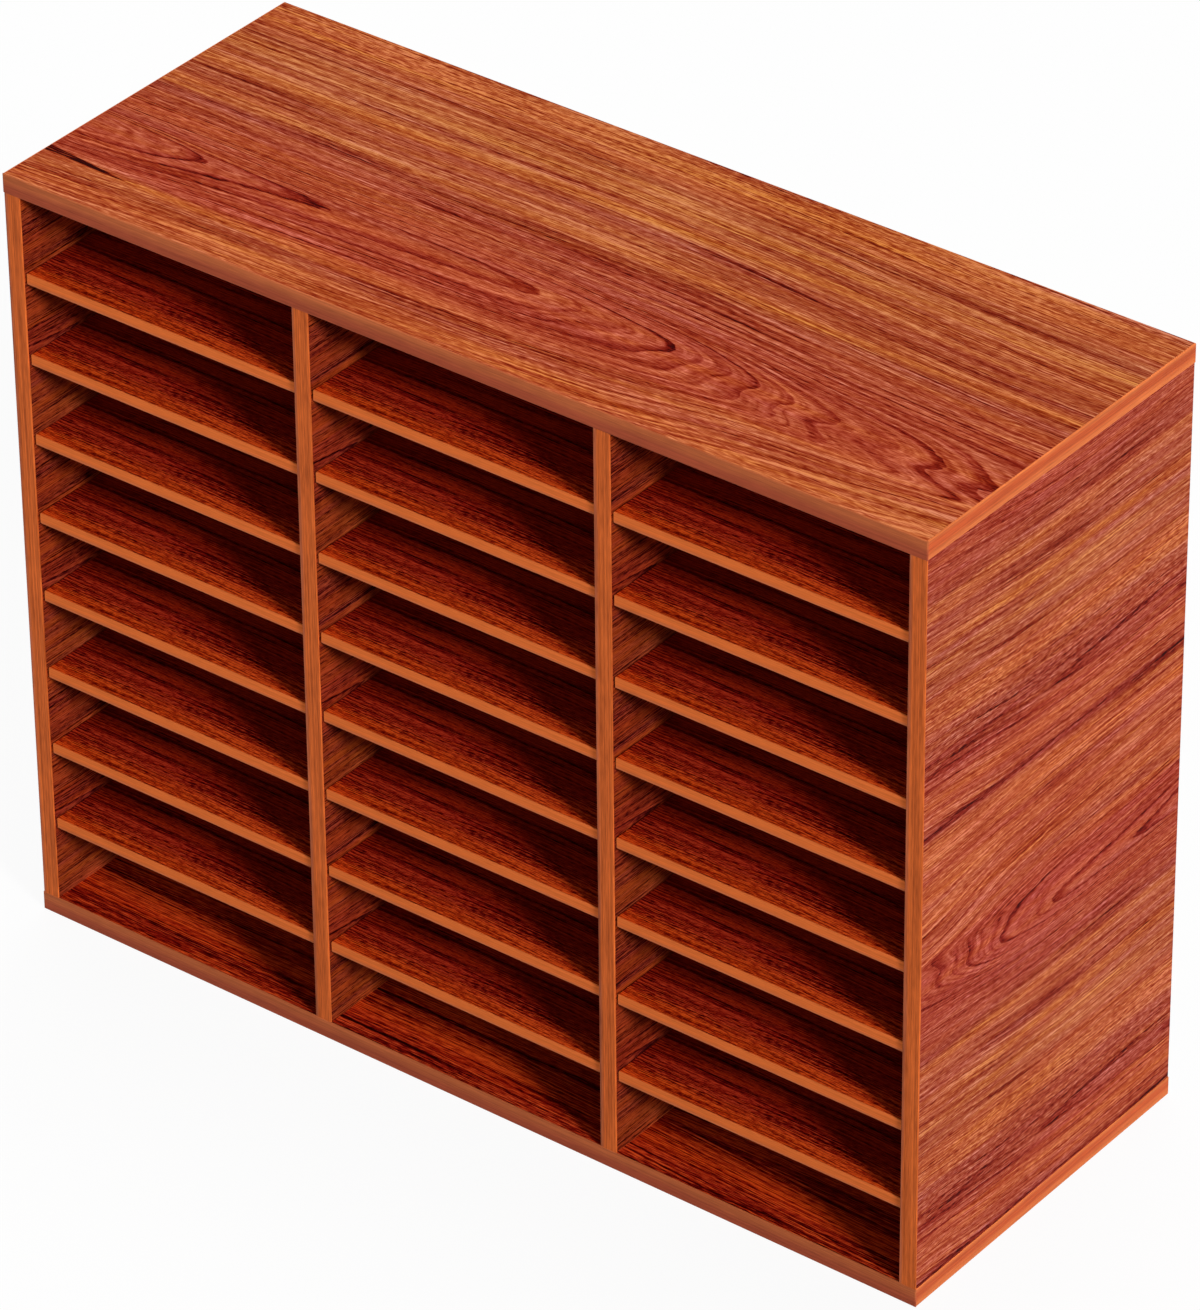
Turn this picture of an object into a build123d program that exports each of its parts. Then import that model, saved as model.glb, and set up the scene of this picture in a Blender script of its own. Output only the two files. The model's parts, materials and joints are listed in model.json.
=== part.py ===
from build123d import *
import os

# A literature organizer with an open front: columns of compartments between
# uprights, with a loose shelf on two runners between each two compartments.
# X runs to the right, Y to the rear and Z up. The origin is on the floor, under
# the middle of the cabinet. All sizes are in millimetres.

# Overall size, over the edge bands
overall_width = 784.0
overall_depth = 305.0
overall_height = 619.0

# Boards. The top and bottom stand past the uprights by the overhang, all round.
panel_thickness = 15.0
upright_thickness = 14.0
shelf_thickness = 8.5
back_thickness = 3.0
panel_overhang = 0.4

# Edge bands, with the flat that is left behind their rounded arrises
band_thickness = 1.0
band_land = 0.3

# Columns, from left to right, and compartments in each
columns = ("left", "middle", "right")
row_count = 9

# Shelves, with the gaps round them and the running gap over their runners
shelf_recess = 2.0
shelf_end_gap = 1.2
shelf_rear_gap = 0.5
shelf_lift = 0.1

# Shelf runners: angle strips with a barbed tongue in a kerf in the upright's face.
# The drop is from the top of the ledge to the middle of the tongue.
runner_reach = 8.0
runner_height = 7.0
runner_ledge = 1.8
runner_leg = 1.6
runner_nose = 0.9
runner_setback = 14.0
runner_rear_gap = 1.0
tongue_drop = 1.6
tongue_thickness = 1.4
barb_reach = 0.3
barb_length = 1.8
tongue_end_gap = 0.5

# Kerfs, with the web that stays between the kerfs of two bays in a divider
kerf_web = 4.0
kerf_play = 0.1
kerf_end_gap = 0.5

# Grooves for the back panels. The web is what stays between two grooves in a divider.
groove_web = 5.0
groove_setback = 8.0
groove_play = 0.2
back_edge_gap = 0.5

# Housings in the top and bottom panels, which take the dividers' ends. They are
# open at the rear and stop short of the front.
housing_depth = 4.0
housing_setback = 12.0
housing_play = 0.1
housing_end_gap = 0.5

# Wooden dowels between the sides and the top and bottom panels
dowel_radius = 3.0
dowel_length = 30.0
dowel_floor = 5.0
dowel_chamfer = 0.8
dowel_setback = 50.0
dowel_end_gap = 1.0
dowel_clearance = 0.05

# Cabinet: faces and clear spaces
carcass_width = overall_width - 2 * panel_overhang
inner_height = overall_height - 2 * panel_thickness
lower_joint = panel_thickness
upper_joint = overall_height - panel_thickness
panel_front = -overall_depth / 2
panel_rear = overall_depth / 2
upright_front = panel_front + panel_overhang
upright_rear = panel_rear - panel_overhang
bay_width = (carcass_width - (len(columns) + 1) * upright_thickness) / len(columns)
bay_pitch = bay_width + upright_thickness
row_pitch = inner_height / row_count
mid_height = Plane.XY.offset(overall_height / 2)
arris_radius = band_thickness - band_land

# Cabinet: middles of the uprights, the outer two of which are the sides, and left
# faces of the bays
upright_middles = [
    -carcass_width / 2 + upright_thickness / 2 + i * bay_pitch for i in range(len(columns) + 1)
]
side_middles = (upright_middles[0], upright_middles[-1])
divider_middles = upright_middles[1:-1]
bay_lefts = [middle + upright_thickness / 2 for middle in upright_middles[:-1]]

# Back panels, which lie against the rear wall of their grooves
groove_depth = (upright_thickness - groove_web) / 2
groove_width = back_thickness + groove_play
groove_rear = upright_rear - groove_setback
groove_middle = groove_rear - groove_width / 2
groove_front = groove_rear - groove_width
back_front = groove_rear - back_thickness

# Shelves
shelf_front = upright_front + shelf_recess
shelf_rear = back_front - shelf_rear_gap
shelf_length = bay_width - 2 * shelf_end_gap
shelf_undersides = [
    lower_joint + row * row_pitch - shelf_thickness / 2 for row in range(1, row_count)
]

# Shelf runners and their kerfs
runner_levels = [underside - shelf_lift for underside in shelf_undersides]
runner_front = upright_front + runner_setback
runner_rear = back_front - runner_rear_gap
runner_length = runner_rear - runner_front
kerf_depth = (upright_thickness - kerf_web) / 2
kerf_width = tongue_thickness + 2 * barb_reach + 2 * kerf_play
kerf_front = runner_front - kerf_end_gap
kerf_length = groove_front - kerf_front
tongue_tip = kerf_depth - tongue_end_gap
tongue_top = -tongue_drop + tongue_thickness / 2
tongue_bottom = -tongue_drop - tongue_thickness / 2
barb_start = tongue_tip - barb_length

# Housings and the dividers' ends in them
housing_front = upright_front + housing_setback
housing_length = panel_rear - housing_front
housing_width = upright_thickness + 2 * housing_play
divider_height = inner_height + 2 * housing_depth
divider_end_front = housing_front + housing_end_gap

# Dowels, on the middle plane of each side
dowel_rows = (upright_front + dowel_setback, upright_rear - dowel_setback)
dowel_places = [(x, y, lower_joint) for x in side_middles for y in dowel_rows]
dowel_grip = panel_thickness - dowel_floor
dowel_bore_radius = dowel_radius + dowel_clearance
dowel_bore_depth = dowel_length - dowel_grip + dowel_end_gap


def write(piece, name):
    """Label one finished piece and write it."""
    piece.label = name
    export_step(piece, f"parts/{name}.step")


def side_plane(side, x, y=0, z=0):
    """A plane that looks to the left (side -1) or to the right (side 1), with its Y up."""
    return Plane(origin=(x, y, z), x_dir=(0, side, 0), z_dir=(side, 0, 0))


def make_band(centre, along, outward, length, width, round_ends=False):
    """An edge band on the board edge at centre, with its outer arrises rounded."""
    with BuildPart() as band:
        with BuildSketch(Plane(origin=centre, x_dir=along, z_dir=outward)):
            Rectangle(length, width)
        extrude(amount=band_thickness)
        arrises = band.faces().sort_by(Axis(centre, outward))[-1].edges()
        if not round_ends:
            arrises = arrises.filter_by(Axis(centre, along))
        fillet(arrises, radius=arris_radius)
    return band


def make_upright(middle, open_sides):
    """One upright: -1 and 1 in open_sides are its left and right faces onto a bay."""
    is_divider = len(open_sides) == 2
    board_front = upright_front + band_thickness
    with BuildPart() as board:
        with BuildSketch(Plane.YZ.offset(middle)):
            with Locations(((board_front + upright_rear) / 2, overall_height / 2)):
                Rectangle(upright_rear - board_front, inner_height)
            if is_divider:
                with Locations(((divider_end_front + upright_rear) / 2, overall_height / 2)):
                    Rectangle(upright_rear - divider_end_front, divider_height)
        extrude(amount=upright_thickness / 2, both=True)

        for side in open_sides:
            face = side_plane(side, middle + side * upright_thickness / 2)
            with BuildSketch(face):
                with Locations((side * groove_middle, overall_height / 2)):
                    Rectangle(groove_width, overall_height)
            extrude(amount=-groove_depth, mode=Mode.SUBTRACT)
            with BuildSketch(face):
                kerf_middle = kerf_front + kerf_length / 2
                with Locations(
                    *[(side * kerf_middle, level - tongue_drop) for level in runner_levels]
                ):
                    Rectangle(kerf_length, kerf_width)
            extrude(amount=-kerf_depth, mode=Mode.SUBTRACT)

        if not is_divider:
            for joint, facing in ((lower_joint, -1), (upper_joint, 1)):
                end_face = Plane(origin=(middle, 0, joint), x_dir=(1, 0, 0), z_dir=(0, 0, facing))
                with Locations(end_face):
                    with Locations(*[(0, facing * y) for y in dowel_rows]):
                        Hole(dowel_bore_radius, depth=dowel_bore_depth)
    return board


def make_shelf(bay_left, underside):
    """One shelf: a board and the band on its front edge, side by side as two solids."""
    middle = bay_left + bay_width / 2
    board_depth = shelf_rear - shelf_front - band_thickness
    with BuildPart() as board:
        with BuildSketch(Plane.XY.offset(underside)):
            with Locations((middle, shelf_rear - board_depth / 2)):
                Rectangle(shelf_length, board_depth)
        extrude(amount=shelf_thickness)
    band = make_band(
        centre=(middle, shelf_front + band_thickness, underside + shelf_thickness / 2),
        along=(1, 0, 0),
        outward=(0, -1, 0),
        length=shelf_length,
        width=shelf_thickness,
    )
    return Compound(children=[board.part, band.part])


def make_back_panel(bay_left):
    """One back panel, standing on the floor of the bottom panel's groove."""
    width = bay_width + 2 * (groove_depth - back_edge_gap)
    height = inner_height + 2 * groove_depth - back_edge_gap
    with BuildPart() as sheet:
        with BuildSketch(Plane.XY.offset(lower_joint - groove_depth)):
            with Locations((bay_left + bay_width / 2, groove_rear - back_thickness / 2)):
                Rectangle(width, back_thickness)
        extrude(amount=height)
    return sheet


os.makedirs("parts", exist_ok=True)

# Bottom panel: a board with one groove for the back panels, a housing for each
# divider, and bores for the dowels of the sides
panel_length = overall_width - 2 * band_thickness
panel_depth = overall_depth - band_thickness
with BuildPart() as bottom_panel:
    with BuildSketch():
        with Locations((0, panel_rear - panel_depth / 2)):
            Rectangle(panel_length, panel_depth)
    extrude(amount=panel_thickness)
    with BuildSketch(Plane.XY.offset(lower_joint)):
        with Locations((0, groove_middle)):
            Rectangle(panel_length, groove_width)
    extrude(amount=-groove_depth, mode=Mode.SUBTRACT)
    with BuildSketch(Plane.XY.offset(lower_joint)):
        with Locations(*[(x, housing_front + housing_length / 2) for x in divider_middles]):
            Rectangle(housing_width, housing_length)
    extrude(amount=-housing_depth, mode=Mode.SUBTRACT)
    with Locations(*dowel_places):
        Hole(dowel_bore_radius, depth=dowel_grip)
bottom_panel.part.label = "bottom_panel"
export_step(bottom_panel.part, "parts/bottom_panel.step")

# Top panel: the same board turned over
with BuildPart() as top_panel:
    mirror(bottom_panel.part, about=mid_height)
top_panel.part.label = "top_panel"
export_step(top_panel.part, "parts/top_panel.step")

# Edge bands of both panels: the front band covers the ends of the end bands
for panel, level in (("bottom", panel_thickness / 2), ("top", overall_height - panel_thickness / 2)):
    panel_front_band = make_band(
        centre=(0, panel_front + band_thickness, level),
        along=(1, 0, 0),
        outward=(0, -1, 0),
        length=overall_width,
        width=panel_thickness,
        round_ends=True,
    )
    write(panel_front_band.part, f"{panel}_front_band")
    for end, side in (("left", -1), ("right", 1)):
        panel_end_band = make_band(
            centre=(side * panel_length / 2, panel_rear - panel_depth / 2, level),
            along=(0, 1, 0),
            outward=(side, 0, 0),
            length=panel_depth,
            width=panel_thickness,
        )
        write(panel_end_band.part, f"{panel}_{end}_band")

# Uprights, from left to right, with their faces onto a bay
uprights = (
    ("left_side", (1,)),
    ("left_divider", (-1, 1)),
    ("right_divider", (-1, 1)),
    ("right_side", (-1,)),
)
for (upright, open_sides), middle in zip(uprights, upright_middles):
    board = make_upright(middle, open_sides)
    write(board.part, upright)
    upright_band = make_band(
        centre=(middle, upright_front + band_thickness, overall_height / 2),
        along=(0, 0, 1),
        outward=(0, -1, 0),
        length=inner_height,
        width=upright_thickness,
    )
    write(upright_band.part, f"{upright}_band")

# Shelf runner, for an upright on its left: the upright's face is at X = 0, and the
# top of the ledge at Z = 0
with BuildPart() as runner:
    with BuildSketch(Plane.XZ):
        with BuildLine():
            Polyline(
                (0, 0),
                (runner_reach, 0),
                (runner_reach, -runner_nose),
                (runner_leg, -runner_ledge),
                (runner_leg, -runner_height),
                (0, -runner_height),
                (0, tongue_bottom),
                (-barb_start, tongue_bottom),
                (-barb_start, tongue_bottom - barb_reach),
                (-tongue_tip, -tongue_drop),
                (-barb_start, tongue_top + barb_reach),
                (-barb_start, tongue_top),
                (0, tongue_top),
                close=True,
            )
        make_face()
    extrude(amount=runner_length / 2, both=True)

# Back panel, shelves and shelf runners of each column. A runner is turned half
# round for the upright on the right.
for column, bay_left in zip(columns, bay_lefts):
    back_panel = make_back_panel(bay_left)
    write(back_panel.part, f"{column}_back_panel")
    for number, underside in enumerate(shelf_undersides, start=1):
        write(make_shelf(bay_left, underside), f"{column}_shelf_{number}")

    runner_middle = runner_front + runner_length / 2
    with BuildPart() as column_runners:
        with Locations(
            *[
                Plane(origin=(x, runner_middle, level), x_dir=(side, 0, 0), z_dir=(0, 0, 1))
                for x, side in ((bay_left, 1), (bay_left + bay_width, -1))
                for level in runner_levels
            ]
        ):
            add(runner.part)
    write(column_runners.part, f"{column}_shelf_runners")

# Dowel, with chamfered ends
with BuildPart() as dowel:
    with Locations((0, 0, -dowel_grip)):
        Cylinder(
            dowel_radius,
            dowel_length,
            align=(Align.CENTER, Align.CENTER, Align.MIN),
        )
    chamfer(dowel.edges().filter_by(GeomType.CIRCLE), length=dowel_chamfer)

# Dowels of the lower joints, which are mirrored for the upper joints
with BuildPart() as bottom_dowels:
    with Locations(*dowel_places):
        add(dowel.part)
write(bottom_dowels.part, "bottom_dowels")
with BuildPart() as top_dowels:
    mirror(bottom_dowels.part, about=mid_height)
write(top_dowels.part, "top_dowels")
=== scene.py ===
"""Looks of an open-fronted literature organizer in printed wood-grain board.

The boards, bands, shelves and fittings come with the frame. This file gives each of
them its finish, and adds the floor, the lamps and the camera.
"""

import json
import math
from collections import namedtuple

import bpy
from mathutils import Matrix, Vector

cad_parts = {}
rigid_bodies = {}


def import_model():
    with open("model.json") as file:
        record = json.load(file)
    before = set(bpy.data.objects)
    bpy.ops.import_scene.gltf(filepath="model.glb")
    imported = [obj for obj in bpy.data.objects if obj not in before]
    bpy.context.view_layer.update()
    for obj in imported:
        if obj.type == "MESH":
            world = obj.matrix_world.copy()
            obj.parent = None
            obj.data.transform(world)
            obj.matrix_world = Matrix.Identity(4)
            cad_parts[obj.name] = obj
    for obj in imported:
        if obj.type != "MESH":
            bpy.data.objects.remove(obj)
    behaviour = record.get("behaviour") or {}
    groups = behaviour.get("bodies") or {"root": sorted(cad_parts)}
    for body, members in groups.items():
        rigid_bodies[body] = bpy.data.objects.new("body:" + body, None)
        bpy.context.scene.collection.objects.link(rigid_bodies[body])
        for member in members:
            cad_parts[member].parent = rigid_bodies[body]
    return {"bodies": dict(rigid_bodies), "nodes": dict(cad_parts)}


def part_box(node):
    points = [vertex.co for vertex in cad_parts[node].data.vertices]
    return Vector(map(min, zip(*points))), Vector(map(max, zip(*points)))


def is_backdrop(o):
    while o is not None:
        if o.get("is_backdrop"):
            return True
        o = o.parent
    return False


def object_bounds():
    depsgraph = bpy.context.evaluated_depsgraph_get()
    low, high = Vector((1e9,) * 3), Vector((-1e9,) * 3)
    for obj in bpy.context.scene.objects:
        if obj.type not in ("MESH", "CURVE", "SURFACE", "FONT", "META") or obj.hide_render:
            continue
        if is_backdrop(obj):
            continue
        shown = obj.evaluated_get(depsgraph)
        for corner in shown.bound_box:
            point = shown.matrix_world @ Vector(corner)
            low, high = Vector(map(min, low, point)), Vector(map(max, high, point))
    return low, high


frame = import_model()

bl_info = {
    "name": "Literature Organizer Finish",
    "version": (1, 0, 0),
    "blender": (4, 5, 0),
    "location": "3D View > Sidebar > Organizer",
    "description": "Finishes the boards, edge bands and fittings of a literature organizer",
    "category": "Object",
}

# Lengths inside the materials are in millimetres
MM_PER_METRE = 1000.0

# The frame's pieces, by what they are
COLUMNS = ("left", "middle", "right")
PANELS = ("bottom", "top")
UPRIGHTS = ("left_side", "left_divider", "right_divider", "right_side")
SHELVES = [name for name in sorted(frame["bodies"]) if name != "cabinet"]

# Overall box, as the frame gives it
LOWEST, HIGHEST = (Vector(corner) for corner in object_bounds())
LEFT_MM = LOWEST.x * MM_PER_METRE
FRONT_MM = LOWEST.y * MM_PER_METRE

# Edge bands are this thick, and the printed paper on the boards is this thick
BAND_MM = 1.0
PAPER_MM = 0.25

# One finish gives way to the next over so much, at the paper and at a band
PAPER_EDGE_MM = 0.05
BAND_EDGE_MM = 0.02

# The print's own frame: millimetres along the grain from the top panel's left end, and
# millimetres across it towards the rear, from a line so far behind the top's front
ZERO_LINE_MM = 88.0

# The printed figure: where along the grain each arch has its tip, and how dark it is there
ARCHES = {
    62: 0.1, 103: 1.0, 207: 0.9, 398: 0.75, 434: 0.35, 478: 0.1, 513: 1.0, 537: 0.35,
    562: 0.15, 587: 0.8, 616: 0.5, 655: 0.5, 706: 0.25, 744: 0.95, 790: 0.9,
}
PRINT_LENGTH_MM = 900.0

# The arches' middle line lies so far across, and bends to the front from one place along
# the grain to another
MIDDLE_LINE_MM = 8.0
BEND_MM = 19.0
BEND_START_MM = 330.0
BEND_END_MM = 820.0

# The figure is at its strongest so near the middle line, and gone so far from it
STRONG_FIGURE_MM = 10.0
NO_FIGURE_MM = 36.0

# Away from its middle line a growth ring is this wide, and near it this blunt
RING_MM = 6.5
PITH_MM = 15.0

# Behind the middle line a ring's number loses this share and gains so many, which draws the
# arches' legs in; in front of it, and further in front, it loses less
DRAWN_IN_BEHIND = 0.92
RINGS_BEHIND = 11.0
DRAWN_IN_FRONT = 0.22
DRAWN_IN_FURTHER = 0.4

# The print repeats across the grain from start to end
PRINT_START_MM = -174.0
PRINT_END_MM = 323.0

# A second, faint figure: its middle line, how far apart its arches lie, and by which share
# of that the print's left end is past a tip
FAINT_FIGURE_MM = 261.0
FAINT_ARCH_MM = 270.0
FAINT_START = 0.463

# A near-black streak starts so far across at the left end, slants to the front, and ends
# so far along
STREAK_MM = -41.0
STREAK_SLANT = 0.075
STREAK_END_MM = 80.0

# How much each part of the print adds to its tone
GROUND_TONE = 0.09
FIGURE_TONE = 0.06
LATE_WOOD_TONE = -0.8
VEIN_TONE = -0.38
THREAD_TONE = -0.24
PORE_TONE = -0.16
STREAK_TONE = -1.5

# How light the wood is across the grain, from 0 to 1
LIGHTNESS = (
    (-174, 0.0), (-170, 0.25), (-165, 0.68), (-156, 0.76), (-140, 0.8), (-128, 0.6), (-115, 0.76),
    (-104, 0.77), (-96, 0.66), (-84, 0.74), (-70, 0.75), (-60, 0.62), (-44, 0.66), (-32, 0.54),
    (-22, 0.5), (-8, 0.56), (15, 0.52), (24, 0.49), (42, 0.6), (56, 0.5), (70, 0.47),
    (80, 0.68), (88, 0.78), (98, 0.6), (112, 0.55), (130, 0.82), (139, 0.6), (150, 0.78),
    (170, 0.63), (182, 0.7), (203, 0.76), (217, 0.68), (230, 0.54), (255, 0.5), (272, 0.54),
    (293, 0.73), (306, 0.64), (315, 0.6), (320, 0.3), (323, 0.0),
)

# How yellow it is across the grain, from 0, red, to 1, yellow
YELLOWNESS = (
    (-174, 0.58), (-150, 0.46), (-85, 0.46), (-60, 0.52), (-42, 0.3), (-30, 0.1), (-8, 0.08),
    (12, 0.28), (32, 0.3), (50, 0.44), (70, 0.66), (95, 0.78), (135, 0.8), (150, 1.0),
    (168, 1.0), (182, 0.68), (205, 0.68), (228, 0.74), (255, 0.65), (290, 0.42), (310, 0.49),
    (323, 0.58),
)

# Filters for the print's hue, each pair from one end of a scale to the other
RED_TO_YELLOW = ((1.05, 0.8, 0.97), (0.97, 1.05, 1.2))
GOLDEN_TO_PURPLE = ((1.0, 1.0, 0.55), (1.0, 1.0, 1.45))
COOL_TO_ORANGE = ((0.99, 0.97, 1.36), (1.02, 0.97, 0.62))

# Painted light and shade further in: filters that lighten the walls (painted light) and darken and
# redden the shelves (painted shade), and between which distances from a piece's front they set in
WALL_PAINTED_LIGHT = (2.25, 2.7, 2.5)
WALL_PAINTED_LIGHT_MM = (24.0, 46.0)
SHELF_PAINTED_SHADE = (0.76, 0.55, 0.9)
SHELF_PAINTED_SHADE_MM = (8.0, 28.0)

# The sides outside get a painted cool light, a little cooler than the top, under a faint painted
# sheen
SIDE_PAINTED_COOL_LIGHT = (0.965, 0.925, 1.17)
SIDE_PAINTED_SHEEN = 0.004

# Height of the print's own relief
PRINT_RELIEF_MM = 0.04


def srgb(red, green, blue):
    """A colour that is written as it looks on a screen, 0 to 255, in linear light."""
    return tuple(
        value / 255 / 12.92 if value <= 10 else ((value / 255 + 0.055) / 1.055) ** 2.4
        for value in (red, green, blue)
    )


def colour_property(name, description, default):
    """A colour for the sidebar."""
    return bpy.props.FloatVectorProperty(
        name=name, description=description, subtype="COLOR", size=3, min=0, max=1, default=default
    )


def share_property(name, description, default):
    """A value from 0 to 1 for the sidebar."""
    return bpy.props.FloatProperty(
        name=name, description=description, default=default, min=0, max=1
    )


def angle_property(name, description, degrees):
    """An angle for the sidebar."""
    return bpy.props.FloatProperty(
        name=name, description=description, subtype="ANGLE", default=math.radians(degrees)
    )


def level_property(name, description, default):
    """A level of light for the sidebar."""
    return bpy.props.FloatProperty(name=name, description=description, default=default, min=0)


class OrganizerPrint(bpy.types.PropertyGroup):
    """The wood print on the boards' faces."""

    darkest: colour_property("Darkest", "Growth lines, outside", srgb(88, 8, 2))
    dark: colour_property("Dark", "Streaks, outside", srgb(132, 37, 12))
    middle: colour_property("Middle", "Body of the print, outside", srgb(161, 71, 34))
    light: colour_property("Light", "Wood between the streaks, outside", srgb(189, 103, 59))
    lightest: colour_property("Lightest", "Fibres, outside", srgb(222, 141, 91))
    # The shelves' colours are a deeper, redder copy of the print outside: painted shade
    shelf_shade_dark: colour_property("Inner Dark", "Streaks, on the shelves", srgb(105, 9, 4))
    shelf_shade_middle: colour_property("Inner Middle", "Body, on the shelves", srgb(168, 37, 11))
    shelf_shade_light: colour_property("Inner Light", "Fibres, on the shelves", srgb(240, 94, 32))
    # The walls' colours are a darker copy of the print outside: painted shade
    wall_shade_dark: colour_property("Wall Dark", "Streaks, inside the uprights", srgb(70, 13, 7))
    wall_shade_middle: colour_property("Wall Middle", "Body, inside the uprights", srgb(122, 41, 17))
    wall_shade_light: colour_property("Wall Light", "Fibres, inside the uprights", srgb(156, 66, 31))
    roughness: share_property("Roughness", "Roughness of the printed paper", 0.5)
    sheen_level: share_property("Gloss", "Strength of the paper's reflections", 0.008)


class OrganizerBands(bpy.types.PropertyGroup):
    """The edge bands."""

    shelf: colour_property("Shelf", "Shelves' fronts", srgb(221, 111, 53))
    # The paler, pinker lower edge of the shelves' bands is a painted highlight
    shelf_edge_highlight: colour_property("Shelf Edge", "Lower edge of them", srgb(196, 103, 64))
    upright: colour_property("Upright", "Uprights' fronts", srgb(198, 94, 40))
    upright_edge: colour_property("Upright Edge", "Left edge of them", srgb(176, 90, 56))
    front: colour_property("Panel Front", "Fronts of the top and bottom", srgb(180, 94, 54))
    front_edge: colour_property("Panel Front Edge", "Lower half of them", srgb(160, 73, 47))
    # The panel ends are lighter near their lower and upper edges than between: painted highlights
    # on the rounded arrises
    end: colour_property("Panel End", "Ends of the top and bottom", srgb(213, 112, 59))
    end_edge: colour_property("Panel End Edge", "Upper half of them", srgb(193, 84, 41))
    roughness: share_property("Roughness", "Roughness of the bands", 0.42)
    sheen_level: share_property("Gloss", "Strength of the bands' reflections", 0.06)


class OrganizerCores(bpy.types.PropertyGroup):
    """What the boards are made of inside, and the fittings."""

    chip: colour_property("Chipboard", "Chips in the boards' bare edges", srgb(204, 164, 118))
    fibre: colour_property("Fibreboard", "Bare edges of the shelves", srgb(150, 112, 78))
    hardboard: colour_property("Hardboard", "Back panels", srgb(146, 98, 60))
    runner: colour_property("Runners", "Plastic of the shelf runners", srgb(58, 30, 22))
    dowel: colour_property("Dowels", "Beech of the dowels", srgb(206, 170, 120))


class OrganizerStage(bpy.types.PropertyGroup):
    """The camera, the lamps and the floor."""

    azimuth: angle_property("Azimuth", "Camera's turn to the right of the front", 37.973)
    elevation: angle_property("Elevation", "Camera's height angle", 33.448)
    roll: angle_property("Roll", "Camera's turn about its own axis", -0.606)
    distance: bpy.props.FloatProperty(
        name="Distance", description="Camera to the point that it looks at",
        unit="LENGTH", default=5.5931, min=0.5,
    )
    aim: bpy.props.FloatVectorProperty(
        name="Aim", description="Point that the camera looks at",
        subtype="XYZ", unit="LENGTH", size=3, default=(0.0053, 0.0018, 0.2976),
    )
    lens: bpy.props.FloatProperty(
        name="Lens", description="Focal length in millimetres", default=220.31, min=10
    )
    backdrop: colour_property("Backdrop", "Floor and background", (1.0, 1.0, 1.0))
    ambient: level_property("Ambient", "Light from all round", 0.2)
    key_level: level_property("Key Lamp", "Level of the lamp at the right front", 0.95)
    top_level: level_property("Top Lamp", "Level of the lamp overhead", 0.42)
    front_level: level_property("Front Lamp", "Level of the lamp straight in front", 0.36)


class Net:
    """A node tree that is being made, from its inputs to its output."""

    def __init__(self, tree):
        self.tree = tree

    def feed(self, socket, value):
        """Link the socket to another node's output, or set it to a plain value."""
        if isinstance(value, bpy.types.NodeSocket):
            self.tree.links.new(value, socket)
        elif hasattr(value, "__len__") and len(value) == 3 and len(socket.default_value) == 4:
            socket.default_value = (*value, 1.0)
        else:
            socket.default_value = value

    def node(self, kind, inputs=None, **settings):
        """Add a node of that kind, with its settings and its inputs."""
        made = self.tree.nodes.new(kind)
        for name, value in settings.items():
            setattr(made, name, value)
        for name, value in (inputs or {}).items():
            self.feed(made.inputs[name], value)
        return made

    def math(self, operation, *values, clamp=False):
        """An operation on one to three values."""
        made = self.node("ShaderNodeMath", operation=operation, use_clamp=clamp)
        for socket, value in zip(made.inputs, values):
            self.feed(socket, value)
        return made.outputs[0]

    def add(self, *values):
        """All the values added up."""
        total = values[0]
        for value in values[1:]:
            total = self.math("ADD", total, value)
        return total

    def times(self, first, second):
        """One value times another."""
        return self.math("MULTIPLY", first, second)

    def step(self, value, start, end):
        """0 up to start, 1 from end on, and smooth between; start may be the higher."""
        made = self.node(
            "ShaderNodeMapRange",
            {"Value": value, "From Min": start, "From Max": end},
            interpolation_type="SMOOTHSTEP",
        )
        return made.outputs["Result"]

    def noise(self, along, across, depth, long=1.0, wide=1.0, detail=2.0, roughness=0.5):
        """Noise about 0.5, in patches so long and so wide; another depth gives others."""
        place = self.node(
            "ShaderNodeCombineXYZ",
            {"X": self.times(along, 1 / long), "Y": self.times(across, 1 / wide), "Z": depth},
        )
        made = self.node(
            "ShaderNodeTexNoise",
            {
                "Vector": place.outputs["Vector"],
                "Scale": 1.0,
                "Detail": detail,
                "Roughness": roughness,
            },
        )
        return made.outputs[0]

    def swing(self, size, along, across, depth, long=1.0, wide=1.0, detail=2.0, roughness=0.5):
        """Such noise about 0, from minus half the size to half of it."""
        level = self.noise(along, across, depth, long, wide, detail, roughness)
        return self.times(self.math("SUBTRACT", level, 0.5), size)

    def mix(self, factor, first, second, blend="MIX"):
        """One colour laid over another."""
        made = self.node("ShaderNodeMix", data_type="RGBA", blend_type=blend)
        self.feed(made.inputs["Factor"], factor)
        self.feed(made.inputs["A"], first)
        self.feed(made.inputs["B"], second)
        return made.outputs["Result"]

    def tint(self, colour, filter_colour):
        """A colour seen through another."""
        return self.mix(1.0, colour, filter_colour, blend="MULTIPLY")

    def ramp(self, factor, stops):
        """Colours along a scale, as (place, colour) pairs."""
        made = self.node("ShaderNodeValToRGB", {"Fac": factor})
        elements = made.color_ramp.elements
        while len(elements) < len(stops):
            elements.new(1.0)
        for element, (place, colour) in zip(elements, stops):
            element.position = place
            element.color = (*colour, 1.0)
        return made.outputs["Color"]

    def group(self, tree, **inputs):
        """Another tree, used as one node."""
        made = self.node("ShaderNodeGroup", node_tree=tree)
        for name, value in inputs.items():
            self.feed(made.inputs[name.replace("_", " ").title()], value)
        return made


def new_group(name, inputs, outputs):
    """An empty node group with number sockets, and its net, input and output nodes."""
    tree = bpy.data.node_groups.new(name, "ShaderNodeTree")
    for socket in inputs:
        tree.interface.new_socket(socket, in_out="INPUT", socket_type="NodeSocketFloat")
    for socket in outputs:
        tree.interface.new_socket(socket, in_out="OUTPUT", socket_type="NodeSocketFloat")
    net = Net(tree)
    return net, net.node("NodeGroupInput").outputs, net.node("NodeGroupOutput").inputs


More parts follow.
